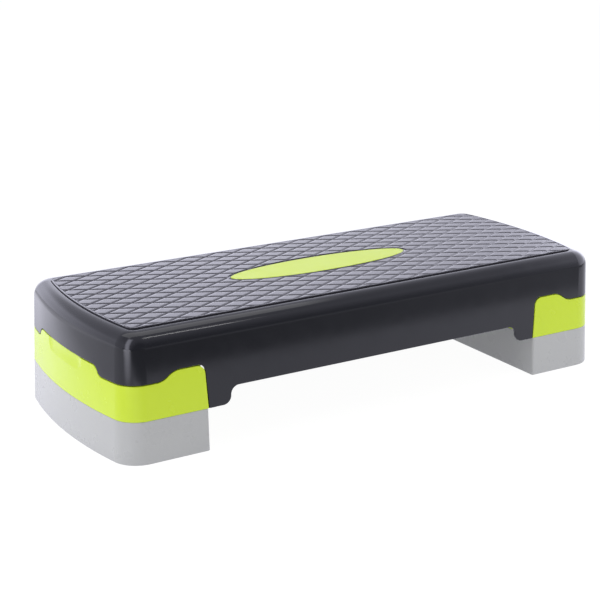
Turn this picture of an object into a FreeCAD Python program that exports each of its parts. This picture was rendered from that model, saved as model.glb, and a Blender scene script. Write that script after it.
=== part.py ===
import FreeCAD, Part
import math
import os

# Aerobic step platform: a moulded deck on two stacked pairs of pull-off risers.
# X runs along the platform, Y across it, Z up. The origin is on the floor under the middle.
# Sizes are in millimetres.

# Outline of the platform on the floor, and how far its outer walls lean in
length = 690.0
width = 278.0
end_bow_radius = 580.0
corner_radius = 32.0
draft_degrees = 2.5

# Heights of the stack
foot_stand_out = 0.6
lower_riser_height = 48.9
deck_height = 98.5

# Deck moulding
deck_wall = 3.2
deck_plate = 3.0
top_edge_radius = 18.0
rib_depth = 8.0
rib_thickness = 2.4
ribs_to_foot = 5
skirt_edge_rise = 20.2
tongue_foot_length = 17.5
deck_foot_length = 10.5
deck_foot_depth = 14.0
deck_foot_wall = 2.6
edge_rounding = 0.8

# Tread inlay and its lozenge pattern
rim_width = 28.0
rim_end_saving = 2.5
mat_thickness = 2.5
mat_stand_out = 1.5
mat_corner_radius = 10.0
mat_edge_gap = 0.7
lozenge_length = 40.3
lozenge_width = 21.1
lozenge_shift_x = -6.0
lozenge_shift_y = 3.0
tread_groove_width = 4.4
tread_groove_depth = 0.8

# Oval badge let into the tread
badge_length = 248.0
badge_width = 58.0
badge_gap = 1.2
badge_peg_radius = 3.0
peg_clearance = 0.1

# Risers
riser_length = 115.5
riser_wall = 3.0
riser_plate = 3.0
riser_inner_corner = 3.0
riser_rib_thickness = 2.4
riser_rib_pitch = 60.0
riser_edge_rounding = 0.7

# Edge where the deck meets the upper riser
seam = 1.0
inner_edge_slope_degrees = 3.6
inner_edge_corner = 10.0
tongue_edge_rise = 41.2
raised_edge_rise = 51.8
raised_edge_length = 32.5
front_bend_length = 29.5
end_raise_half_width = 70.0
end_bend_length = 18.0

# Parts of the risers that plug into what stands above them
tower_clearance = 0.8
shelf_thickness = 3.0
tab_height = 12.0
tab_width = 24.0
tab_wall = 3.0
tab_clearance = 0.5

# Grip scooped out of the bowed end of the upper riser
scoop_half_width = 50.0
scoop_half_height = 13.0
scoop_depth = 1.2

# Rubber feet of the risers
pad_radius = 11.0
pad_stem_radius = 4.0
pad_stem_length = 9.0
pad_hole_clearance = 0.1
pad_boss_radius = 13.0
pad_side_offset = 90.0
pad_inner_offset = 27.0
pad_outer_offset = 34.0
pad_pocket_clearance = 1.0
pad_pocket_spare_depth = 0.7
pad_edge_rounding = 0.3

# Rubber plugs of the deck feet
plug_depth = 8.0
plug_clearance = 0.1
plug_inset = 1.5

# Positions that follow from the sizes
half_length = length / 2
half_width = width / 2
lower_bottom = foot_stand_out
lower_top = lower_bottom + lower_riser_height
height = lower_top + deck_height
deck_top = height - mat_stand_out
recess_floor = height - mat_thickness
plate_under = recess_floor - deck_plate
rib_bottom = plate_under - rib_depth
inner_wall_x = half_length - riser_length
deck_foot_x = inner_wall_x - seam
arch_foot_x = deck_foot_x - tongue_foot_length
foot_arch_side_x = deck_foot_x - deck_foot_length
rib_pitch = (deck_foot_x + foot_arch_side_x) / 2 / ribs_to_foot
skirt_edge = lower_top + skirt_edge_rise
tongue_edge = lower_top + tongue_edge_rise
raised_edge = lower_top + raised_edge_rise
inner_edge_slope = math.radians(inner_edge_slope_degrees)
inner_edge_run = raised_edge_rise * math.tan(inner_edge_slope)
tower_inset = deck_wall + tower_clearance
tower_inner_x = inner_wall_x + inner_edge_run + riser_wall
tower_top = rib_bottom - riser_plate
shelf_under = tongue_edge - seam - shelf_thickness
tower_rounding = top_edge_radius - deck_wall - rib_depth
tab_inset = riser_wall + tab_clearance
tab_inner_x = tower_inner_x + tab_clearance
riser_middle_x = half_length - riser_length / 2
pad_places_x = {"inner": inner_wall_x + pad_inner_offset, "outer": half_length - pad_outer_offset}
pad_places_y = {"front": -pad_side_offset, "back": pad_side_offset}
far = length + width

# How far ribs and posts run into the walls that they join
deck_bite = deck_plate / 3
riser_bite = riser_wall / 3

os.makedirs("parts", exist_ok=True)
Vector = FreeCAD.Vector
up = Vector(0, 0, 1)


def lean(level):
    """How far the outer walls have leaned in at a height."""
    return (level - lower_bottom) * math.tan(math.radians(draft_degrees))


def bowed_end(inset, corner, level, reach_out=0):
    """Corner arcs and bowed arc of the +X end, moved inward by inset, then lengthways by reach_out."""
    apex = half_length - inset + reach_out
    corner_y = half_width - inset - corner
    bow = end_bow_radius - inset
    reach = math.sqrt((bow - corner) ** 2 - corner_y ** 2)
    corner_x = apex - bow + reach
    turn = math.atan2(corner_y, reach)

    def on_corner(angle, side):
        x = corner_x + corner * math.cos(angle)
        y = side * (corner_y + corner * math.sin(angle))
        return Vector(x, y, level)

    square = math.pi / 2
    between = (square + turn) / 2
    back = Part.Arc(on_corner(square, 1), on_corner(between, 1), on_corner(turn, 1))
    end = Part.Arc(on_corner(turn, 1), Vector(apex, 0, level), on_corner(turn, -1))
    front = Part.Arc(on_corner(turn, -1), on_corner(between, -1), on_corner(square, -1))
    return [back.toShape(), end.toShape(), front.toShape()]


def outline(edges):
    """Closed wire from edges in any order."""
    return Part.Wire(Part.__sortEdges__(edges))


def prism(edges, direction):
    """Solid swept along a direction from a closed flat outline."""
    return Part.Face(outline(edges)).extrude(direction)


def turned(shape):
    """Copy turned half round about the upright axis, for the other end of the platform."""
    copy = shape.copy()
    copy.rotate(Vector(0, 0, 0), up, 180)
    return copy


def deck_plan(inset, corner, level, reach_out=0):
    """Edges round the plan of the whole platform, moved inward by inset."""
    right = bowed_end(inset, corner, level, reach_out)
    left = [turned(edge) for edge in right]
    start = right[0].Vertexes[0].Point
    finish = right[2].Vertexes[1].Point
    back_side = Part.makeLine(Vector(-start.x, start.y, level), start)
    front_side = Part.makeLine(finish, Vector(-finish.x, finish.y, level))
    return right + left + [back_side, front_side]


def riser_plan(inset, inner_x, level):
    """Edges round the plan of one riser at the +X end, moved inward by inset."""
    end = bowed_end(inset, corner_radius - inset, level)
    start = end[0].Vertexes[0].Point
    side = start.y
    bend = riser_inner_corner
    diagonal = bend * (1 - math.sqrt(0.5))
    edges = list(end)
    for sign in (1, -1):
        outer = Vector(start.x, sign * side, level)
        bend_outer = Vector(inner_x + bend, sign * side, level)
        bend_middle = Vector(inner_x + diagonal, sign * (side - diagonal), level)
        bend_inner = Vector(inner_x, sign * (side - bend), level)
        edges.append(Part.makeLine(outer, bend_outer))
        edges.append(Part.Arc(bend_outer, bend_middle, bend_inner).toShape())
    edges.append(Part.makeLine(Vector(inner_x, side - bend, level), Vector(inner_x, bend - side, level)))
    return edges


def leaning_deck(inset, low, high):
    """Solid with the plan of the whole platform, moved inward by inset, whose walls lean in."""
    plans = []
    for level in (low, high):
        shrink = inset + lean(level)
        plans.append(outline(deck_plan(shrink, corner_radius - shrink, level)))
    return Part.makeLoft(plans, True, True)


def leaning_riser(inset, inner_x, low, high):
    """Solid with the plan of one riser at the +X end, moved inward by inset, whose outer walls lean in."""
    plans = [outline(riser_plan(inset + lean(level), inner_x, level)) for level in (low, high)]
    return Part.makeLoft(plans, True, True)


def box(x_range, y_range, z_range):
    """Block between two limits along each axis."""
    size = [high - low for low, high in (x_range, y_range, z_range)]
    return Part.makeBox(size[0], size[1], size[2], Vector(x_range[0], y_range[0], z_range[0]))


def post(radius, x, y, low, high):
    """Upright round post."""
    return Part.makeCylinder(radius, high - low, Vector(x, y, low), up)


def s_curve(start, finish):
    """Two equal arcs, level at both ends, joining two points of an upright plane."""
    run = Vector(finish.x - start.x, finish.y - start.y, 0)
    rise = finish.z - start.z
    turn = 2 * math.atan2(abs(rise), run.Length)
    radius = run.Length / (2 * math.sin(turn))
    along = run * (radius * math.sin(turn / 2) / run.Length)
    step = along + up * math.copysign(radius * (1 - math.cos(turn / 2)), rise)
    middle = (start + finish) * 0.5
    first = Part.Arc(start, start + step, middle).toShape()
    second = Part.Arc(middle, finish - step, finish).toShape()
    return [first, second]


def chain(points):
    """Straight edges through a row of points."""
    return [Part.makeLine(first, second) for first, second in zip(points, points[1:])]


def riser_zone(gap, low):
    """Space at the +X end below the lower edge of the deck, kept gap clear of that edge."""
    raised = raised_edge - gap
    tongue = tongue_edge - gap
    slope = math.tan(inner_edge_slope)
    foot_x = deck_foot_x + gap
    corner_x = foot_x + (raised - lower_top) * slope
    corner_turn = math.pi / 2 - inner_edge_slope
    corner_run = inner_edge_corner * math.tan(corner_turn / 2)
    slant = Vector(math.sin(inner_edge_slope), 0, math.cos(inner_edge_slope))
    corner = Vector(corner_x, -far, raised)
    corner_start = corner - slant * corner_run
    corner_finish = corner + Vector(corner_run, 0, 0)
    corner_centre = corner_finish - up * inner_edge_corner
    outward = corner - corner_centre
    corner_middle = corner_centre + outward * (inner_edge_corner / outward.Length)
    bend_start = Vector(inner_wall_x + raised_edge_length, -far, raised)
    bend_finish = Vector(bend_start.x + front_bend_length, -far, tongue)
    base = Vector(foot_x + (low - lower_top) * slope, -far, low)
    side_edges = chain([base, corner_start])
    side_edges.append(Part.Arc(corner_start, corner_middle, corner_finish).toShape())
    side_edges += chain([corner_finish, bend_start])
    side_edges += s_curve(bend_start, bend_finish)
    side_edges += chain([bend_finish, Vector(far, -far, tongue), Vector(far, -far, low), base])
    side_zone = prism(side_edges, Vector(0, 2 * far, 0))

    end_x = bend_finish.x
    raise_y = end_raise_half_width
    bend_y = raise_y + end_bend_length
    end_edges = s_curve(Vector(end_x, -bend_y, tongue), Vector(end_x, -raise_y, raised))
    end_edges += chain([Vector(end_x, -raise_y, raised), Vector(end_x, raise_y, raised)])
    end_edges += s_curve(Vector(end_x, raise_y, raised), Vector(end_x, bend_y, tongue))
    end_edges += chain([
        Vector(end_x, bend_y, tongue),
        Vector(end_x, bend_y, low),
        Vector(end_x, -bend_y, low),
        Vector(end_x, -bend_y, tongue),
    ])
    end_zone = prism(end_edges, Vector(far - end_x, 0, 0))
    return side_zone.fuse(end_zone).removeSplitter()


def level_edges(shape, level):
    """Edges of a shape that lie wholly at one height."""
    found = []
    for edge in shape.Edges:
        bounds = edge.BoundBox
        if abs(bounds.ZMin - level) < 1e-4 and abs(bounds.ZMax - level) < 1e-4:
            found.append(edge)
    return found


def plan_inset(x, y):
    """How far inside the outline on the floor a point of the plan lies."""
    x = abs(x)
    y = abs(y)
    corner_y = half_width - corner_radius
    bow_x = half_length - end_bow_radius
    reach = math.sqrt((end_bow_radius - corner_radius) ** 2 - corner_y ** 2)
    if x < bow_x + reach:
        return half_width - y
    if (y - corner_y) * reach > (x - bow_x - reach) * corner_y:
        return corner_radius - math.hypot(x - bow_x - reach, y - corner_y)
    return end_bow_radius - math.hypot(x - bow_x, y)


def outer_edges(shape, ceiling):
    """Edges round the outer walls of a shape, below a ceiling, that other faces meet at an angle."""
    walls = []
    for face in shape.Faces:
        middle = face.valueAt(sum(face.ParameterRange[:2]) / 2, sum(face.ParameterRange[2:]) / 2)
        if abs(plan_inset(middle.x, middle.y) - lean(middle.z)) < 1e-3:
            walls.append(face)
    found = []
    for wall in walls:
        for edge in wall.Edges:
            shared = sum(1 for other in walls for side in other.Edges if side.isSame(edge))
            if shared == 1 and edge.BoundBox.ZMax < ceiling:
                found.append(edge)
    return found


def cross_ribs(thickness, x_places, y_places, low, high):
    """Grid of upright ribs, before it is trimmed to the space that it stands in."""
    ribs = []
    for x in x_places:
        ribs.append(box((x - thickness / 2, x + thickness / 2), (-far, far), (low, high)))
    for y in y_places:
        ribs.append(box((-far, far), (y - thickness / 2, y + thickness / 2), (low, high)))
    return ribs[0].multiFuse(ribs[1:])


def centred_places(pitch, limit):
    """Evenly pitched places either side of zero, the last at least a third of a pitch from the limit."""
    count = int(limit / pitch - 1 / 3)
    return [index * pitch for index in range(-count, count + 1)]


def straddling_places(pitch, limit):
    """Evenly pitched places that straddle zero, the last at least a third of a pitch from the limit."""
    count = int(limit / pitch + 1 / 2 - 1 / 3)
    return [(index + 0.5) * pitch for index in range(-count, count)]


def ellipse_prism(long_radius, short_radius, low, high):
    """Upright solid with an oval plan, long way along X."""
    oval = Part.Ellipse(Vector(0, 0, low), long_radius, short_radius)
    return prism([oval.toShape()], up * (high - low))


def save(shape, name):
    """Write one piece to its own file."""
    shape.exportStep("parts/" + name + ".step")


def deck_hollow(bite):
    """Inside of the deck shell, grown by bite."""
    wall = deck_wall - bite
    top = plate_under + bite
    hollow = leaning_deck(wall, lower_top - deck_height, top)
    return hollow.makeFillet(top_edge_radius - wall, level_edges(hollow, top))


def foot_core(end, side, gap, low, high):
    """Space inside the walls of one deck foot, kept gap clear of them."""
    wall = deck_foot_wall + gap
    core_x = (end * (foot_arch_side_x + wall), end * (deck_foot_x - wall))
    core_y = (side * (half_width - deck_foot_depth + wall), side * half_width)
    return box(sorted(core_x), sorted(core_y), (low, high)).common(deck_hollow(-gap))


def tower_block(inset, inner_x, low, high, rounding):
    """Block that follows the walls at the +X end, moved inward by inset, with its outer top edge rounded."""
    block = leaning_deck(inset, low, high).common(box((inner_x, far), (-far, far), (low, high)))
    top_edges = [edge for edge in level_edges(block, high) if edge.BoundBox.XMax > inner_x + rounding]
    return block.makeFillet(rounding, top_edges)


def upper_inside(bite):
    """Hollow of the upper riser, grown by bite: wide below the shelf, narrower in the tower."""
    low_part = leaning_riser(riser_wall - bite, tower_inner_x - bite, lower_top - deck_height, shelf_under)
    high_part = tower_block(
        tower_inset + riser_wall - bite,
        tower_inner_x + riser_wall - bite,
        shelf_under - shelf_thickness,
        tower_top + bite,
        tower_rounding / 2,
    )
    return low_part.fuse(high_part)


def lower_inside(bite):
    """Hollow of the lower riser, grown by bite."""
    wall = riser_wall - bite
    top = lower_top - riser_plate + bite
    return leaning_riser(wall, inner_wall_x + wall, lower_bottom - foot_stand_out, top)


def pad_posts(radius, low, high):
    """Round posts at the four places of the rubber feet of a riser."""
    return [post(radius, x, y, low, high) for x in pad_places_x.values() for y in pad_places_y.values()]


def pad_holes(low):
    """Blind holes for the stems of the four rubber feet of a riser."""
    return pad_posts(pad_stem_radius + pad_hole_clearance, low, low + pad_stem_length + pad_hole_clearance)


def save_pads(low, riser_name):
    """Rubber feet under one level of risers, at both ends of the platform."""
    turned_side = {"front": "back", "back": "front"}
    for x_name, x in pad_places_x.items():
        for y_name, y in pad_places_y.items():
            sole = post(pad_radius, x, y, low - foot_stand_out, low)
            sole = sole.makeFillet(pad_edge_rounding, level_edges(sole, low - foot_stand_out))
            stem = post(pad_stem_radius, x, y, low - foot_stand_out / 2, low + pad_stem_length)
            pad = sole.fuse(stem).removeSplitter()
            save(pad, riser_name + "_right_pad_" + y_name + "_" + x_name)
            save(turned(pad), riser_name + "_left_pad_" + turned_side[y_name] + "_" + x_name)


# Deck: a thin shell, cut back at both ends for the upper risers and arched between its feet
outer = leaning_deck(0, lower_top, deck_top)
outer = outer.makeFillet(top_edge_radius, level_edges(outer, deck_top))
end_space = riser_zone(0, lower_top - deck_height)
arch_top_x = arch_foot_x - skirt_edge_rise
arch_edges = s_curve(Vector(-arch_foot_x, -far, lower_top), Vector(-arch_top_x, -far, skirt_edge))
arch_edges += chain([Vector(-arch_top_x, -far, skirt_edge), Vector(arch_top_x, -far, skirt_edge)])
arch_edges += s_curve(Vector(arch_top_x, -far, skirt_edge), Vector(arch_foot_x, -far, lower_top))
arch_edges += chain([
    Vector(arch_foot_x, -far, lower_top),
    Vector(arch_foot_x, -far, lower_top - deck_height),
    Vector(-arch_foot_x, -far, lower_top - deck_height),
    Vector(-arch_foot_x, -far, lower_top),
])
arch = prism(arch_edges, Vector(0, 2 * far, 0))
shell = outer.cut([deck_hollow(0), end_space, turned(end_space), arch])
shell = shell.makeFillet(edge_rounding, outer_edges(shell, deck_top - top_edge_radius))

# Ribs under the deck plate
welded_hollow = deck_hollow(deck_bite)
deck_ribs = cross_ribs(
    rib_thickness,
    centred_places(rib_pitch, half_length - deck_wall),
    centred_places(rib_pitch, half_width - deck_wall),
    rib_bottom,
    height,
).common(welded_hollow)

# Four hollow feet behind the skirt, each with a rubber plug pressed into its open end
foot_blocks = []
foot_hollows = []
for end, end_name in ((-1, "left"), (1, "right")):
    for side, side_name in ((-1, "front"), (1, "back")):
        foot_x = sorted((end * foot_arch_side_x, end * deck_foot_x))
        foot_y = sorted((side * (half_width - deck_foot_depth), side * (half_width - lean(lower_top))))
        foot_blocks.append(box(foot_x, foot_y, (lower_top, height)).common(welded_hollow))
        foot_hollows.append(foot_core(end, side, 0, lower_top - deck_bite, rib_bottom))
        sole = box(
            (foot_x[0] + plug_inset, foot_x[1] - plug_inset),
            (foot_y[0] + plug_inset, foot_y[1] - plug_inset),
            (lower_top - foot_stand_out, lower_top),
        )
        sole = sole.makeFillet(pad_edge_rounding, level_edges(sole, lower_top - foot_stand_out))
        stem_low = lower_top - foot_stand_out / 2
        stem = foot_core(end, side, plug_clearance, stem_low, lower_top + plug_depth)
        save(sole.fuse(stem).removeSplitter(), "deck_foot_plug_" + side_name + "_" + end_name)

# Recess for the tread inlay, and holes for the pegs of the badge between the ribs
recess_inset = rim_width - mat_edge_gap
recess_plan = deck_plan(recess_inset, mat_corner_radius + mat_edge_gap, recess_floor, rim_end_saving)
mat_recess = prism(recess_plan, up * mat_thickness)
peg_places = [(end * rib_pitch * 1.5, side * badge_width / 4) for end in (-1, 1) for side in (-1, 1)]
peg_hole_radius = badge_peg_radius + peg_clearance
peg_holes = [post(peg_hole_radius, x, y, plate_under - deck_bite, height) for x, y in peg_places]
deck = shell.fuse([deck_ribs] + foot_blocks)
deck = deck.cut(foot_hollows + [mat_recess] + peg_holes).removeSplitter()
save(deck, "deck_shell")

# Tread inlay: a sheet in the recess of the deck, with an oval window and crossing grooves
mat = prism(deck_plan(rim_width, mat_corner_radius, recess_floor, rim_end_saving), up * mat_thickness)
window = ellipse_prism(
    badge_length / 2 + badge_gap,
    badge_width / 2 + badge_gap,
    recess_floor - mat_thickness,
    height + mat_thickness,
)
groove_slope = math.degrees(math.atan2(lozenge_width, lozenge_length))
groove_count = math.ceil(half_width / lozenge_width + half_length / lozenge_length) + 1
groove_edges = chain([
    Vector(-length, 0, height - tread_groove_depth),
    Vector(-length, tread_groove_width, height + tread_groove_depth),
    Vector(-length, -tread_groove_width, height + tread_groove_depth),
    Vector(-length, 0, height - tread_groove_depth),
])
grooves = []
for index in range(-groove_count, groove_count + 1):
    for sign in (1, -1):
        groove = prism(groove_edges, Vector(2 * length, 0, 0))
        groove.rotate(Vector(0, 0, 0), up, sign * groove_slope)
        groove.translate(Vector(lozenge_shift_x, index * lozenge_width + lozenge_shift_y, 0))
        grooves.append(groove)
save(mat.cut([window] + grooves), "tread_mat")

# Oval badge: a bare plate on pegs, level with the tread
badge = ellipse_prism(badge_length / 2, badge_width / 2, recess_floor, height)
badge = badge.makeFillet(edge_rounding, level_edges(badge, height))
pegs = [post(badge_peg_radius, x, y, plate_under, height - mat_thickness / 2) for x, y in peg_places]
save(badge.fuse(pegs).removeSplitter(), "centre_badge")

# Upper riser: an outer band under the deck edge, and a tower inside the skirt that carries the deck ribs
band = leaning_deck(0, lower_top, height).common(riser_zone(seam, lower_top))
band = band.makeFillet(riser_edge_rounding, outer_edges(band, height))
tower = tower_block(tower_inset, tower_inner_x, shelf_under, rib_bottom, tower_rounding)
riser_rib_y = straddling_places(riser_rib_pitch, half_width - riser_wall)
upper_ribs = cross_ribs(riser_rib_thickness, [riser_middle_x], riser_rib_y, lower_top, rib_bottom)
upper_ribs = upper_ribs.common(upper_inside(riser_bite))
scoop_radius = (scoop_half_height ** 2 + scoop_depth ** 2) / (2 * scoop_depth)
scoop_path_radius = end_bow_radius - lean(raised_edge) + scoop_radius - scoop_depth
scoop_turn = math.degrees((scoop_half_width - scoop_half_height) / scoop_path_radius)
scoop_centre = Vector(half_length - end_bow_radius, 0, raised_edge)
scoop = Part.makeTorus(scoop_path_radius, scoop_radius, scoop_centre, up, 0, 360, 2 * scoop_turn)
scoop.rotate(scoop_centre, up, -scoop_turn)
scoop_ends = []
for sign in (-1, 1):
    scoop_end = Part.makeSphere(scoop_radius, scoop_centre + Vector(scoop_path_radius, 0, 0))
    scoop_end.rotate(scoop_centre, up, sign * scoop_turn)
    scoop_ends.append(scoop_end)
upper = band.fuse(tower).cut(upper_inside(0))
upper = upper.fuse([upper_ribs] + pad_posts(pad_boss_radius, lower_top, tower_top + riser_bite))
upper = upper.cut([scoop] + scoop_ends + pad_holes(lower_top)).removeSplitter()
save(upper, "upper_riser_right")
save(turned(upper), "upper_riser_left")
save_pads(lower_top, "upper_riser")

# Lower riser: a plain block with a closed top, whose tabs stand up inside the walls of the riser above
block = leaning_riser(0, inner_wall_x, lower_bottom, lower_top)
block_edges = level_edges(block, lower_top) + level_edges(block, lower_bottom)
block = block.makeFillet(riser_edge_rounding, block_edges)
tab_ring = leaning_riser(tab_inset, tab_inner_x, lower_top - riser_plate, lower_top + tab_height)
tab_core = leaning_riser(tab_inset + tab_wall, tab_inner_x + tab_wall, lower_top - deck_height, height)
tab_strips = [box((0, far), (-tab_width / 2, tab_width / 2), (0, height))]
tab_from_rib = riser_rib_thickness / 2 + tab_clearance
for side in (-1, 1):
    tab_x = sorted((riser_middle_x + side * tab_from_rib, riser_middle_x + side * (tab_from_rib + tab_width)))
    tab_strips.append(box(tab_x, (-far, far), (0, height)))
tabs = [tab_ring.cut(tab_core).common(strip) for strip in tab_strips]
lower_ribs = cross_ribs(riser_rib_thickness, [riser_middle_x], riser_rib_y, lower_bottom, lower_top)
lower_ribs = lower_ribs.common(lower_inside(riser_bite))
pocket_radius = pad_radius + pad_pocket_clearance
pocket_floor = lower_top - foot_stand_out - pad_pocket_spare_depth
pocket_under = pocket_floor - riser_plate
pocket_backs = pad_posts(pocket_radius + riser_wall, pocket_under, lower_top - riser_bite)
lower = block.cut(lower_inside(0))
lower_bosses = pad_posts(pad_boss_radius, lower_bottom, pocket_under + riser_bite)
lower = lower.fuse([lower_ribs] + tabs + pocket_backs + lower_bosses)
lower = lower.cut(pad_posts(pocket_radius, pocket_floor, height) + pad_holes(lower_bottom)).removeSplitter()
save(lower, "lower_riser_right")
save(turned(lower), "lower_riser_left")
save_pads(lower_bottom, "lower_riser")
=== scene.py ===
# %% [markdown]
# # Dressing an aerobic step platform
#
# The real object is a charcoal deck, moulded in one shot, with a soft tread let into its top. It stands on
# two pairs of risers, lime above and grey below, that pull off to change its height. The solid model
# already holds every piece at its real size, so this lesson adds what the eye needs: a finer tread,
# moulded surfaces, light and a camera.

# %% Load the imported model
import math
import bmesh
import bpy
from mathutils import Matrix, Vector


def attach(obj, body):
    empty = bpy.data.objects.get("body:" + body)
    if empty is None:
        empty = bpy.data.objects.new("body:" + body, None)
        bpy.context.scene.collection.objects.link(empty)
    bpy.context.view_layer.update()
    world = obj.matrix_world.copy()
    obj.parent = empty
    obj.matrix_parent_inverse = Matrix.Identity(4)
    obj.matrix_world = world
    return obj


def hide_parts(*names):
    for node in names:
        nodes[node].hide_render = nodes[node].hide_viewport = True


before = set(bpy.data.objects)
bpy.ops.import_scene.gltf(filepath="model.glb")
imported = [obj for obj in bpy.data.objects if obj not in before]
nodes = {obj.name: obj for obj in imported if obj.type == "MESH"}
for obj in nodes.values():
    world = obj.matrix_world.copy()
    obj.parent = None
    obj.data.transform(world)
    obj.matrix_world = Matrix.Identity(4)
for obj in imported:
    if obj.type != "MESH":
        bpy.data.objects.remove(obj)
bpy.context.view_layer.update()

scene = bpy.context.scene
MM = 0.001

# %% [markdown]
# ## The camera
#
# The photograph looks at the platform from the front left and a little above. A wide lens close by would
# give the same side of the object but shrink its far end. The camera therefore stands further off on that
# line with a long lens, as product photographers do.

# %% Place the camera
CAMERA_PLACE = Vector((-0.9356, -1.4750, 0.6422))
CAMERA_AIM = Vector((-0.02845, 0, 0.1051))
LENS_MM = 88.62
SENSOR_MM = 36


def turned_towards(place, aim):
    """Rotation of a camera or lamp that stands at place and looks at aim."""
    return (aim - place).to_track_quat("-Z", "Y").to_euler()


camera_data = bpy.data.cameras.new("camera")
camera_data.sensor_width = SENSOR_MM
camera_data.lens = LENS_MM
camera = bpy.data.objects.new("camera", camera_data)
camera.location = CAMERA_PLACE
camera.rotation_euler = turned_towards(CAMERA_PLACE, CAMERA_AIM)
scene.collection.objects.link(camera)
scene.camera = camera
print("camera to aim in mm", round((CAMERA_AIM - CAMERA_PLACE).length / MM))

# %% [markdown]
# ## Helpers for materials
#
# Colours are easiest to read as the hex values of a paint chart. The shader wants linear light, so one
# function turns one into the other. A second function adds any node, with its settings and its links, and
# a third turns the size of a grain into the scale of a noise.

# %% Colour, node and size helpers


def linear(hex_colour):
    """Linear RGBA of an sRGB hex colour such as "#2b2c30"."""
    values = [int(hex_colour[place:place + 2], 16) / 255 for place in (1, 3, 5)]
    return [v / 12.92 if v <= 0.04045 else ((v + 0.055) / 1.055) ** 2.4 for v in values] + [1]


def add_node(tree, kind, settings=(), inputs=()):
    """Add one node. An input that is a (node, output) pair becomes a link."""
    made = tree.nodes.new(kind)
    for name, value in dict(settings).items():
        setattr(made, name, value)
    for name, value in dict(inputs).items():
        if isinstance(value, tuple):
            tree.links.new(value[0].outputs[value[1]], made.inputs[name])
        else:
            made.inputs[name].default_value = value
    return made


def per_size(size_mm):
    """Noise scale that gives a feature of this size when the coordinates are metres."""
    return 1 / (size_mm * MM)


def empty_material(name):
    """Material without nodes, ready to be filled."""
    material = bpy.data.materials.new(name)
    material.use_nodes = True
    material.node_tree.nodes.clear()
    return material


print("a grain of 1 mm is a noise scale of", per_size(1))

# %% [markdown]
# ## Moulded polypropylene
#
# The deck, the badge and the risers are injection-moulded polypropylene. A flat colour with one roughness
# would look like a drawing of it. The real skin copies a spark-eroded steel mould: a fine, even grain that
# softens reflections without hiding them. That grain is about a fifth of a millimetre, too fine for this
# picture, so it is drawn about five times coarser. Slow changes of gloss come from uneven cooling, and a
# faint cloud of colour from the pigment.

# %% Polypropylene skin
POLYPROPYLENE_IOR = 1.49
CLOUD_MM = 60
GLOSS_PATCH_MM = 22
GRAIN_MM = 1.0


def moulded_polypropylene(name, hex_colour, cloud_hex, roughness, grain_depth_mm):
    """Moulded plastic with mould grain, pigment clouds and uneven gloss."""
    material = empty_material(name)
    tree = material.node_tree
    place = add_node(tree, "ShaderNodeTexCoord")
    cloud = add_node(tree, "ShaderNodeTexNoise", {}, {
        "Vector": (place, "Object"), "Scale": per_size(CLOUD_MM), "Detail": 3.0, "Roughness": 0.55})
    colour = add_node(tree, "ShaderNodeMix", {"data_type": "RGBA"}, {
        "Factor": (cloud, "Fac"), 6: linear(hex_colour), 7: linear(cloud_hex)})
    patches = add_node(tree, "ShaderNodeTexNoise", {}, {
        "Vector": (place, "Object"), "Scale": per_size(GLOSS_PATCH_MM), "Detail": 4.0})
    gloss = add_node(tree, "ShaderNodeMapRange", {}, {
        "Value": (patches, "Fac"), "From Min": 0.3, "From Max": 0.7,
        "To Min": roughness - 0.02, "To Max": roughness + 0.03})
    grain = add_node(tree, "ShaderNodeTexNoise", {}, {
        "Vector": (place, "Object"), "Scale": per_size(GRAIN_MM), "Detail": 2.0})
    bump = add_node(tree, "ShaderNodeBump", {}, {
        "Height": (grain, "Fac"), "Strength": 0.35, "Distance": grain_depth_mm * MM})
    skin = add_node(tree, "ShaderNodeBsdfPrincipled", {}, {
        "Base Color": (colour, 2), "Roughness": (gloss, "Result"), "Normal": (bump, "Normal"),
        "IOR": POLYPROPYLENE_IOR})
    add_node(tree, "ShaderNodeOutputMaterial", {}, {"Surface": (skin, "BSDF")})
    return material


# %% Polypropylene in three colours
# The deck's mould is polished most, so the charcoal mirrors the studio in soft bands along its edges.
charcoal_plastic = moulded_polypropylene(
    "moulded polypropylene charcoal", "#18191f", "#1c1d23", roughness=0.11, grain_depth_mm=0.0015)
# The risers are satin: a broad sheen that shows their lean and their rounded corners.
lime_plastic = moulded_polypropylene(
    "moulded polypropylene lime", "#d5ed32", "#d0ea2d", roughness=0.25, grain_depth_mm=0.003)
grey_plastic = moulded_polypropylene(
    "moulded polypropylene grey", "#bfc0c2", "#bcbdbf", roughness=0.28, grain_depth_mm=0.003)
# The badge is more matt, so that its colour stays strong where the tread round it turns pale.
badge_plastic = moulded_polypropylene(
    "moulded polypropylene lime matt", "#e0f82e", "#dcf52a", roughness=0.37, grain_depth_mm=0.003)
print("plastics", [made.name for made in (charcoal_plastic, lime_plastic, grey_plastic, badge_plastic)])

# %% [markdown]
# ## Thermoplastic rubber
#
# The tread and the feet are a soft thermoplastic rubber. A dark colour alone would look like hard plastic:
# what tells rubber is a slightly mottled skin with uneven gloss. The tread comes from a smooth mould and is
# satin, so it turns pale where it mirrors the room at a low angle. The feet are matt and nearly black. The
# dry skin has a texture of about 0.3 mm, drawn three times coarser to show.

# %% Rubber in two colours
RUBBER_IOR = 1.5
RUBBER_SPECULAR = 0.42
MOTTLE_MM = 9
SKIN_MM = 0.9
SKIN_DEPTH_MM = 0.012


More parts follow.
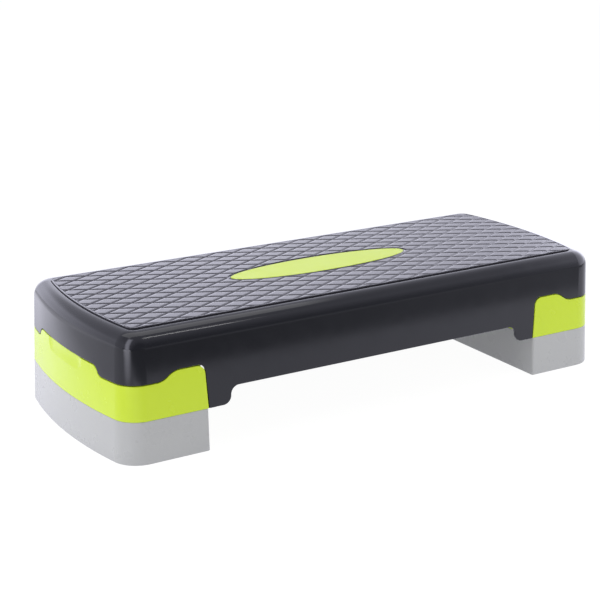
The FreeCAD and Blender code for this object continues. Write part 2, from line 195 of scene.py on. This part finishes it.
def moulded_rubber(name, hex_colour, mottle_hex, roughness):
    """Rubber with a mottled skin of uneven gloss."""
    material = empty_material(name)
    tree = material.node_tree
    place = add_node(tree, "ShaderNodeTexCoord")
    mottle = add_node(tree, "ShaderNodeTexNoise", {}, {
        "Vector": (place, "Object"), "Scale": per_size(MOTTLE_MM), "Detail": 5.0, "Roughness": 0.6})
    colour = add_node(tree, "ShaderNodeMix", {"data_type": "RGBA"}, {
        "Factor": (mottle, "Fac"), 6: linear(hex_colour), 7: linear(mottle_hex)})
    gloss = add_node(tree, "ShaderNodeMapRange", {}, {
        "Value": (mottle, "Fac"), "From Min": 0.3, "From Max": 0.7,
        "To Min": roughness - 0.06, "To Max": roughness + 0.06})
    texture = add_node(tree, "ShaderNodeTexNoise", {}, {
        "Vector": (place, "Object"), "Scale": per_size(SKIN_MM), "Detail": 2.0})
    bump = add_node(tree, "ShaderNodeBump", {}, {
        "Height": (texture, "Fac"), "Strength": 0.3, "Distance": SKIN_DEPTH_MM * MM})
    skin = add_node(tree, "ShaderNodeBsdfPrincipled", {}, {
        "Base Color": (colour, 2), "Roughness": (gloss, "Result"), "Normal": (bump, "Normal"),
        "IOR": RUBBER_IOR, "Specular IOR Level": RUBBER_SPECULAR})
    add_node(tree, "ShaderNodeOutputMaterial", {}, {"Surface": (skin, "BSDF")})
    return material


tread_rubber = moulded_rubber("moulded thermoplastic rubber tread", "#3a3942", "#403f48", roughness=0.16)
foot_rubber = moulded_rubber("moulded thermoplastic rubber feet", "#1d1d1f", "#252527", roughness=0.7)
print("rubbers", tread_rubber.name, foot_rubber.name)

# %% [markdown]
# ## Finish the solid pieces
#
# The deck, the badge, the risers and the feet already have their true shape, with drafted walls and rounded
# edges. They could be built again as meshes, but nothing would be gained, so they keep their own. Each
# only needs the right material, which its name tells.

# %% Give each solid its material
finishes = {"deck_shell": charcoal_plastic, "centre_badge": badge_plastic}
for name in nodes:
    if "_pad_" in name or "_plug_" in name:
        finishes[name] = foot_rubber
    elif name.startswith("upper_riser"):
        finishes[name] = lime_plastic
    elif name.startswith("lower_riser"):
        finishes[name] = grey_plastic
for name, material in finishes.items():
    slots = nodes[name].data.materials
    slots.clear()
    slots.append(material)
print("finished solids", len(finishes))

# %% [markdown]
# ## The tread inlay
#
# The inlay is a soft sheet in a shallow recess of the deck. Its top is a net of narrow grooves that leaves
# raised lozenges, and their edges are rounded so that they grip without cutting. A displacement texture
# would blur such small steps, so the inlay is real geometry. First comes its outline: straight long sides,
# bowed ends and round corners. Sizes are in millimetres, with heights above the floor.

# %% Outline of the inlay
HALF_WIDTH = 111.0
HALF_LENGTH = 319.5
BOW_RADIUS = 552.0
CORNER_RADIUS = 10.0
BOW_STEPS = 24
CORNER_STEPS = 8


def inlay_outline(inset):
    """Points round the inlay in millimetres, moved inward by inset."""
    corner_y = HALF_WIDTH - CORNER_RADIUS
    reach = math.sqrt((BOW_RADIUS - CORNER_RADIUS) ** 2 - corner_y ** 2)
    bow_x = HALF_LENGTH - BOW_RADIUS
    turn = math.atan2(corner_y, reach)
    bow = []
    for step in range(BOW_STEPS + 1):
        angle = -turn + 2 * turn * step / BOW_STEPS
        radius = BOW_RADIUS - inset
        bow.append((bow_x + radius * math.cos(angle), radius * math.sin(angle)))
    corner = []
    for step in range(1, CORNER_STEPS + 1):
        angle = turn + (math.pi / 2 - turn) * step / CORNER_STEPS
        radius = CORNER_RADIUS - inset
        corner.append((bow_x + reach + radius * math.cos(angle), corner_y + radius * math.sin(angle)))
    points = bow + corner
    points += [(-x, y) for x, y in reversed(bow + corner)]
    points += [(-x, -y) for x, y in corner]
    points += [(x, -y) for x, y in reversed(corner)]
    return points


print("outline points", len(inlay_outline(0)))

# %% [markdown]
# Each lozenge is a stack of eight rings of four points, each ring a little smaller and higher than the
# last, which gives a flat top with a soft shoulder. The profile lists how far each ring lies inside the
# middle of the groove, and its height.

# %% Lozenges
TOP = 148.0
SEAT = 145.5
GROOVE_FLOOR = 147.2
LOZENGE_LENGTH = 40.3
LOZENGE_WIDTH = 21.1
SHIFT_X = -6.0
SHIFT_Y = 3.0
COLUMNS = range(-17, 19)
ROWS = range(-6, 7)
LOZENGE_PROFILE = [
    (0.05, GROOVE_FLOOR - 0.2), (0.06, TOP - 0.76), (0.3, TOP - 0.6), (0.7, TOP - 0.44),
    (1.2, TOP - 0.3), (1.9, TOP - 0.17), (2.8, TOP - 0.07), (3.9, TOP)]
MIDDLE_TO_SIDE = LOZENGE_LENGTH * LOZENGE_WIDTH / 2 / math.hypot(LOZENGE_LENGTH, LOZENGE_WIDTH)


def add_ring(mesh, points, level):
    """Add a ring of vertices at one height, all in millimetres."""
    return [mesh.verts.new((x * MM, y * MM, level * MM)) for x, y in points]


def add_wall(mesh, low, high):
    """Join two rings of vertices by quads."""
    for place in range(len(low)):
        following = (place + 1) % len(low)
        mesh.faces.new((low[place], low[following], high[following], high[place]))


blocks = bmesh.new()
for column in COLUMNS:
    for row in ROWS:
        centre_x = SHIFT_X + column * LOZENGE_LENGTH / 2
        centre_y = SHIFT_Y + (row + (0.5 if column % 2 == 0 else 0)) * LOZENGE_WIDTH
        rings = []
        for inset, level in LOZENGE_PROFILE:
            size = 1 - inset / MIDDLE_TO_SIDE
            points = []
            for x, y in ((1, 0), (0, 1), (-1, 0), (0, -1)):
                points.append((
                    centre_x + x * size * LOZENGE_LENGTH / 2,
                    centre_y + y * size * LOZENGE_WIDTH / 2))
            rings.append(add_ring(blocks, points, level))
        for low, high in zip(rings, rings[1:]):
            add_wall(blocks, low, high)
        blocks.faces.new(rings[-1])
        blocks.faces.new(list(reversed(rings[0])))
print("lozenge faces", len(blocks.faces))

# %% [markdown]
# The lozenges run out past the edge of the inlay and under the oval badge. Their points could be clipped
# one by one, but the cut faces would then need care. Two cutters trim them instead: a prism with the
# outline of the inlay, and an oval one. Blender's exact boolean keeps the cut edges clean.

# %% Trim the lozenges
WINDOW_HALF_LENGTH = 124.4
WINDOW_HALF_WIDTH = 29.4
OVAL_STEPS = 96
BEAD_WIDTH = 2.2
MOAT_WIDTH = 4.2
CUT_CLEARANCE = 0.02
CUTTER_TOP = TOP + 2


def oval(grow):
    """Points round the badge window in millimetres, moved outward by grow."""
    points = []
    for step in range(OVAL_STEPS):
        angle = 2 * math.pi * step / OVAL_STEPS
        points.append((
            (WINDOW_HALF_LENGTH + grow) * math.cos(angle),
            (WINDOW_HALF_WIDTH + grow) * math.sin(angle)))
    return points


def object_of(name, data):
    """Put a mesh into the scene as an object."""
    made = bpy.data.objects.new(name, data)
    scene.collection.objects.link(made)
    return made


def mesh_of(name, shape):
    """Turn a finished bmesh into a mesh."""
    data = bpy.data.meshes.new(name)
    shape.to_mesh(data)
    shape.free()
    return data


def cutter_of(name, points):
    """Prism with upright walls round a row of points."""
    shape = bmesh.new()
    bottom = add_ring(shape, points, SEAT)
    top = add_ring(shape, points, CUTTER_TOP)
    shape.faces.new(list(reversed(bottom)))
    shape.faces.new(top)
    add_wall(shape, bottom, top)
    return object_of(name, mesh_of(name, shape))


def combine(base, others):
    """Run exact booleans on an object, remove all that went in and return the mesh that comes out."""
    for other, operation in others:
        boolean = base.modifiers.new(other.name, "BOOLEAN")
        boolean.object = other
        boolean.operation = operation
        boolean.solver = "EXACT"
    depsgraph = bpy.context.evaluated_depsgraph_get()
    result = bpy.data.meshes.new_from_object(base.evaluated_get(depsgraph))
    for used in [base] + [other for other, operation in others]:
        bpy.data.objects.remove(used)
    return result


block_object = object_of("lozenges", mesh_of("lozenges", blocks))
edge_cutter = cutter_of("edge_cutter", inlay_outline(BEAD_WIDTH + CUT_CLEARANCE))
badge_cutter = cutter_of("badge_cutter", oval(MOAT_WIDTH + CUT_CLEARANCE))
trimmed = combine(block_object, [(edge_cutter, "INTERSECT"), (badge_cutter, "DIFFERENCE")])
print("trimmed faces", len(trimmed.polygons))

# %% [markdown]
# A low bead runs round the edge of the sheet and round the window, as a moulded rubber mat has, and a flat
# floor joins them under the lozenges. A bead could be a curve with a bevel, but then it would only lie on
# the sheet. Here it is a stack of outlines, each a little further in and at its own height, joined by
# quads, so that it is one skin with the sheet.

# %% Sheet with its beads
EDGE_PROFILE = [
    (0, SEAT), (0, TOP - 0.35), (0.1, TOP - 0.15), (0.3, TOP - 0.03), (0.55, TOP), (1.1, TOP - 0.07),
    (BEAD_WIDTH, TOP - 0.3), (BEAD_WIDTH, GROOVE_FLOOR)]
WINDOW_PROFILE = [
    (MOAT_WIDTH, GROOVE_FLOOR), (2.6, GROOVE_FLOOR), (0.6, TOP - 0.1), (0.3, TOP), (0.1, TOP - 0.1),
    (0, TOP - 0.3), (0, SEAT)]


def stack(mesh, rings):
    """Join rows of points, each with its height, by quads. Returns the rows of vertices."""
    rows = [add_ring(mesh, points, level) for points, level in rings]
    for low, high in zip(rows, rows[1:]):
        add_wall(mesh, low, high)
    return rows


def fill_between(mesh, outer, inner):
    """Flat face between two rows of vertices."""
    edges = []
    for row in (outer, inner):
        for place in range(len(row)):
            edges.append(mesh.edges.get((row[place], row[(place + 1) % len(row)])))
    bmesh.ops.triangle_fill(mesh, edges=edges, use_beauty=True)


sheet = bmesh.new()
edge_rows = stack(sheet, [(inlay_outline(inset), level) for inset, level in EDGE_PROFILE])
window_rows = stack(sheet, [(oval(grow), level) for grow, level in WINDOW_PROFILE])
fill_between(sheet, edge_rows[-1], window_rows[0])
fill_between(sheet, edge_rows[0], window_rows[-1])
bmesh.ops.recalc_face_normals(sheet, faces=sheet.faces)
print("sheet faces", len(sheet.faces))

# %% [markdown]
# One more boolean welds the lozenges onto the floor of the sheet, so that the inlay is a single closed
# skin. Where two cuts nearly meet, a boolean leaves sliver faces a few thousandths of a millimetre wide.
# They are merged away, because they would only disturb whoever uses the mesh later.

# %% Weld the inlay
SLIVER = 0.004

sheet_object = object_of("sheet", mesh_of("sheet", sheet))
trimmed_object = object_of("trimmed", trimmed)
welded = combine(sheet_object, [(trimmed_object, "UNION")])
closed = bmesh.new()
closed.from_mesh(welded)
bmesh.ops.remove_doubles(closed, verts=closed.verts, dist=SLIVER * MM)
bmesh.ops.dissolve_degenerate(closed, edges=closed.edges, dist=SLIVER * MM)
inlay_data = mesh_of("tread_inlay", closed)
inlay_data.materials.append(tread_rubber)
inlay = object_of("tread_inlay", inlay_data)
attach(inlay, "deck")
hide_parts("tread_mat")
print("inlay faces", len(inlay_data.polygons))

# %% [markdown]
# ## The studio floor
#
# The photograph was taken on a white sweep. A floor lit until it is white would throw that light back onto
# the platform and wash it out. So the floor gives each kind of ray its own answer. To the camera it is
# white, with a share of plain matt paint that keeps the platform's shadow. To the light that falls on the
# platform it is mostly that matt paint. To rays that leave a glossy surface it shows soft bands, like the
# cards and dark cloths that a photographer lays out of view: they draw the long pale and dark strips on the
# walls of the deck.

# %% Floor plane
FLOOR_REACH = 6

floor_corners = [(x * FLOOR_REACH, y * FLOOR_REACH, 0) for x, y in ((-1, -1), (1, -1), (1, 1), (-1, 1))]
floor_data = bpy.data.meshes.new("floor")
floor_data.from_pydata(floor_corners, [], [(0, 1, 2, 3)])
floor = object_of("floor", floor_data)
floor_paint = empty_material("white studio floor")
floor_data.materials.append(floor_paint)
print("floor", floor_paint.name)

# %% Bands that a gloss sees in the floor
# Each band: the axis it runs along, where it starts and ends in metres, the level before and after, and
# how it changes.
FLOOR_BANDS = {
    "left_end": ("X", -0.6, -0.2, 0.0, 1.0, "LINEAR"),
    "far_side": ("Y", 0.38, 0.6, 0.0, 0.16, "LINEAR"),
    "dark_front": ("Y", -0.48, -0.46, 0.0, 2.85, "SMOOTHSTEP"),
    "rightward": ("X", 0.0, 0.65, 0.12, 0.52, "LINEAR"),
}
LEFT_END_STOPS = ((0.1, 0.34), (0.35, 0.6), (0.58, 0.58), (0.75, 0.34))

tree = floor_paint.node_tree
floor_place = add_node(tree, "ShaderNodeNewGeometry")
floor_split = add_node(tree, "ShaderNodeSeparateXYZ", {}, {"Vector": (floor_place, "Position")})
bands = {}
for name, (axis, start, end, before, after, change) in FLOOR_BANDS.items():
    bands[name] = add_node(tree, "ShaderNodeMapRange", {"interpolation_type": change}, {
        "Value": (floor_split, axis), "From Min": start, "From Max": end, "To Min": before, "To Max": after})
left_card = add_node(tree, "ShaderNodeValToRGB", {}, {"Fac": (bands["left_end"], "Result")})
for stop, level in LEFT_END_STOPS:
    mark = left_card.color_ramp.elements.new(stop)
    mark.color = (level, level, level, 1)
left_card.color_ramp.elements.remove(left_card.color_ramp.elements[0])
left_card.color_ramp.elements.remove(left_card.color_ramp.elements[-1])
floor_level = (left_card, "Color")
for operation, name in (("ADD", "far_side"), ("MULTIPLY", "dark_front"), ("ADD", "rightward")):
    step = add_node(tree, "ShaderNodeMath", {"operation": operation}, {
        0: floor_level, 1: (bands[name], "Result")})
    floor_level = (step, "Value")
print("floor bands", list(bands))

# %% A bright streak on the floor, mirrored by the near corner
# The long oval of light lies to the left of the near corner and turned with it. The upright corner of the
# deck mirrors it as one narrow pale line.
STREAK_MIDDLE = [-2.716, -1.505, 0]
STREAK_TURN = 30
STREAK_HALF_SIZE = [2.5, 0.48, 1]
STREAK_LEVEL = 4.2

streak_frame = add_node(tree, "ShaderNodeMapping", {"vector_type": "TEXTURE"}, {
    "Vector": (floor_place, "Position"), "Location": STREAK_MIDDLE,
    "Rotation": [0, 0, math.radians(STREAK_TURN)], "Scale": STREAK_HALF_SIZE})
from_middle = add_node(tree, "ShaderNodeVectorMath", {"operation": "LENGTH"}, {0: (streak_frame, "Vector")})
streak = add_node(tree, "ShaderNodeMapRange", {"interpolation_type": "SMOOTHSTEP"}, {
    "Value": (from_middle, "Value"), "From Min": 0.88, "From Max": 1.0, "To Min": STREAK_LEVEL, "To Max": 0.0})
floor_mirrored = add_node(tree, "ShaderNodeMath", {"operation": "ADD"}, {
    0: floor_level, 1: (streak, "Result")})
print("streak in metres", STREAK_HALF_SIZE[:2])

# %% Floor shader
WHITE_LEVEL = 1.13
WHITE_SHARE = 0.4
WHITE_SHARE_WHEN_SEEN = 0.45


def seen_share(tree):
    """Light Path node, and a node that is one for rays that see a surface: direct, off a gloss or through."""
    rays = add_node(tree, "ShaderNodeLightPath")
    direct = add_node(tree, "ShaderNodeMath", {"operation": "MAXIMUM"}, {
        0: (rays, "Is Camera Ray"), 1: (rays, "Is Glossy Ray")})
    seen = add_node(tree, "ShaderNodeMath", {"operation": "MAXIMUM"}, {
        0: (direct, "Value"), 1: (rays, "Is Transmission Ray")})
    return rays, seen


rays, seen = seen_share(tree)
share = add_node(tree, "ShaderNodeMath", {"operation": "MULTIPLY_ADD"}, {
    0: (seen, "Value"), 1: WHITE_SHARE_WHEN_SEEN, 2: WHITE_SHARE})
matt = add_node(tree, "ShaderNodeBsdfDiffuse", {}, {"Color": linear("#f2f2f2")})
white = add_node(tree, "ShaderNodeEmission", {}, {"Color": linear("#ffffff"), "Strength": WHITE_LEVEL})
glow = add_node(tree, "ShaderNodeEmission", {}, {
    "Color": linear("#f0f0ff"), "Strength": (floor_mirrored, "Value")})
lit = add_node(tree, "ShaderNodeMixShader", {}, {
    "Fac": (rays, "Is Glossy Ray"), 1: (white, "Emission"), 2: (glow, "Emission")})
surface = add_node(tree, "ShaderNodeMixShader", {}, {
    "Fac": (share, "Value"), 1: (matt, "BSDF"), 2: (lit, "Shader")})
add_node(tree, "ShaderNodeOutputMaterial", {}, {"Surface": (surface, "Shader")})
print("floor nodes", len(tree.nodes))

# %% [markdown]
# ## The surroundings
#
# The world follows the same idea. It is white to the camera and gives the platform an even, plain light. A
# plain white world would be mirrored as one flat pale film, so a gloss sees a graded room instead: a bright
# backdrop low behind the platform, which makes the tread pale, a card at the right, a dimmer ceiling, a dark
# side towards the camera, and a narrow upright strip that the near corner mirrors.

# %% Bands that a gloss sees in the room
# The axes here are those of the direction in which a ray leaves, from -1 to 1.
ROOM_BANDS = {
    "low_backdrop": ("Z", 0.29, 0.45, 1.35, 0.0, "SMOOTHSTEP"),
    "behind": ("Y", 0.0, 0.5, 0.0, 1.0, "SMOOTHSTEP"),
    "from_left": ("X", -0.85, -0.1, 0.0, 1.0, "LINEAR"),
    "fading_right": ("X", 0.46, 0.62, 1.0, 0.55, "LINEAR"),
    "right_card": ("X", 0.62, 0.7, 0.0, 1.6, "SMOOTHSTEP"),
    "ceiling": ("Z", 0.45, 0.85, 1.0, 0.7, "LINEAR"),
    "dark_front": ("Y", -0.88, -0.5, 0.22, 1.0, "LINEAR"),
}
ROOM_STEPS = (
    ("MULTIPLY", "behind"), ("MULTIPLY", "from_left"), ("MULTIPLY", "fading_right"),
    ("ADD", "right_card"), ("ADD", "ceiling"), ("MULTIPLY", "dark_front"))

world = bpy.data.worlds.new("white studio")
scene.world = world
world.use_nodes = True
tree = world.node_tree
tree.nodes.clear()
direction = add_node(tree, "ShaderNodeTexCoord")
direction_split = add_node(tree, "ShaderNodeSeparateXYZ", {}, {"Vector": (direction, "Generated")})
bands = {}
for name, (axis, start, end, before, after, change) in ROOM_BANDS.items():
    bands[name] = add_node(tree, "ShaderNodeMapRange", {"interpolation_type": change}, {
        "Value": (direction_split, axis), "From Min": start, "From Max": end,
        "To Min": before, "To Max": after})
room_level = (bands["low_backdrop"], "Result")
for operation, name in ROOM_STEPS:
    step = add_node(tree, "ShaderNodeMath", {"operation": operation}, {
        0: room_level, 1: (bands[name], "Result")})
    room_level = (step, "Value")
print("room bands", list(bands))

# %% Upright strip for the near corner
STRIP_TURN = 150
STRIP_LEVEL = 3.2

strip_frame = add_node(tree, "ShaderNodeVectorRotate", {"rotation_type": "Z_AXIS"}, {
    "Vector": (direction, "Generated"), "Angle": math.radians(STRIP_TURN)})
strip_split = add_node(tree, "ShaderNodeSeparateXYZ", {}, {"Vector": (strip_frame, "Vector")})
sideways = add_node(tree, "ShaderNodeMath", {"operation": "ABSOLUTE"}, {0: (strip_split, "Y")})
strip_side = add_node(tree, "ShaderNodeMapRange", {"interpolation_type": "SMOOTHSTEP"}, {
    "Value": (sideways, "Value"), "From Min": 0.08, "From Max": 0.24, "To Min": STRIP_LEVEL, "To Max": 0.0})
strip_ahead = add_node(tree, "ShaderNodeMapRange", {"interpolation_type": "SMOOTHSTEP"}, {
    "Value": (strip_split, "X"), "From Min": 0.3, "From Max": 0.5, "To Min": 0.0, "To Max": 1.0})
strip = add_node(tree, "ShaderNodeMath", {"operation": "MULTIPLY"}, {
    0: (strip_side, "Result"), 1: (strip_ahead, "Result")})
room_mirrored = add_node(tree, "ShaderNodeMath", {"operation": "ADD"}, {0: room_level, 1: (strip, "Value")})
print("strip turned by", STRIP_TURN, "degrees")

# %% World shader
ROOM_LIGHT = 0.36

rays, seen = seen_share(tree)
white = add_node(tree, "ShaderNodeBackground", {}, {"Color": linear("#ffffff"), "Strength": 1.0})
studio = add_node(tree, "ShaderNodeBackground", {}, {
    "Color": linear("#eeeeff"), "Strength": (room_mirrored, "Value")})
room = add_node(tree, "ShaderNodeBackground", {}, {"Color": linear("#ffffff"), "Strength": ROOM_LIGHT})
shown = add_node(tree, "ShaderNodeMixShader", {}, {
    "Fac": (rays, "Is Glossy Ray"), 1: (white, "Background"), 2: (studio, "Background")})
surface = add_node(tree, "ShaderNodeMixShader", {}, {
    "Fac": (seen, "Value"), 1: (room, "Background"), 2: (shown, "Shader")})
add_node(tree, "ShaderNodeOutputWorld", {}, {"Surface": (surface, "Shader")})
print("surroundings", world.name, "nodes", len(tree.nodes))

# %% [markdown]
# ## Lamps
#
# Four soft boxes light the platform. Point lamps would give hard shadows that no product photograph has. A
# large one on the left is the key, a wide one overhead lights the tread, and one at the right front fills
# the long side. A narrow strip high at the right front draws a thin line along the edge of the deck. The key
# and the fill are hidden from reflections, because the bands above already stand for them there.

# %% Soft boxes


def soft_box(name, place, aim, width, height, power, mirrored=True):
    """Rectangular lamp of a size in metres and a power in watts, turned towards a point."""
    lamp = bpy.data.lights.new(name, "AREA")
    lamp.shape = "RECTANGLE"
    lamp.size = width
    lamp.size_y = height
    lamp.energy = power
    made = object_of(name, lamp)
    made.location = place
    made.rotation_euler = turned_towards(Vector(place), Vector(aim))
    made.visible_glossy = mirrored


soft_box(
    "key_left", place=(-1.9, 0.1, 0.9), aim=(0, 0, 0.08), width=1.6, height=1.5, power=16.5, mirrored=False)
soft_box("overhead", place=(0, 0.5, 2.0), aim=(0, 0, 0.1), width=2.2, height=1.4, power=10)
soft_box(
    "edge_strip", place=(0.585, -0.874, 1.784), aim=(-0.25, -0.13, 0.14), width=0.07, height=0.4, power=0.8)
soft_box(
    "fill_front", place=(1.1, -1.8, 0.55), aim=(0.1, 0, 0.08), width=1.6, height=0.9, power=11, mirrored=False)
scene.view_settings.view_transform = "Standard"
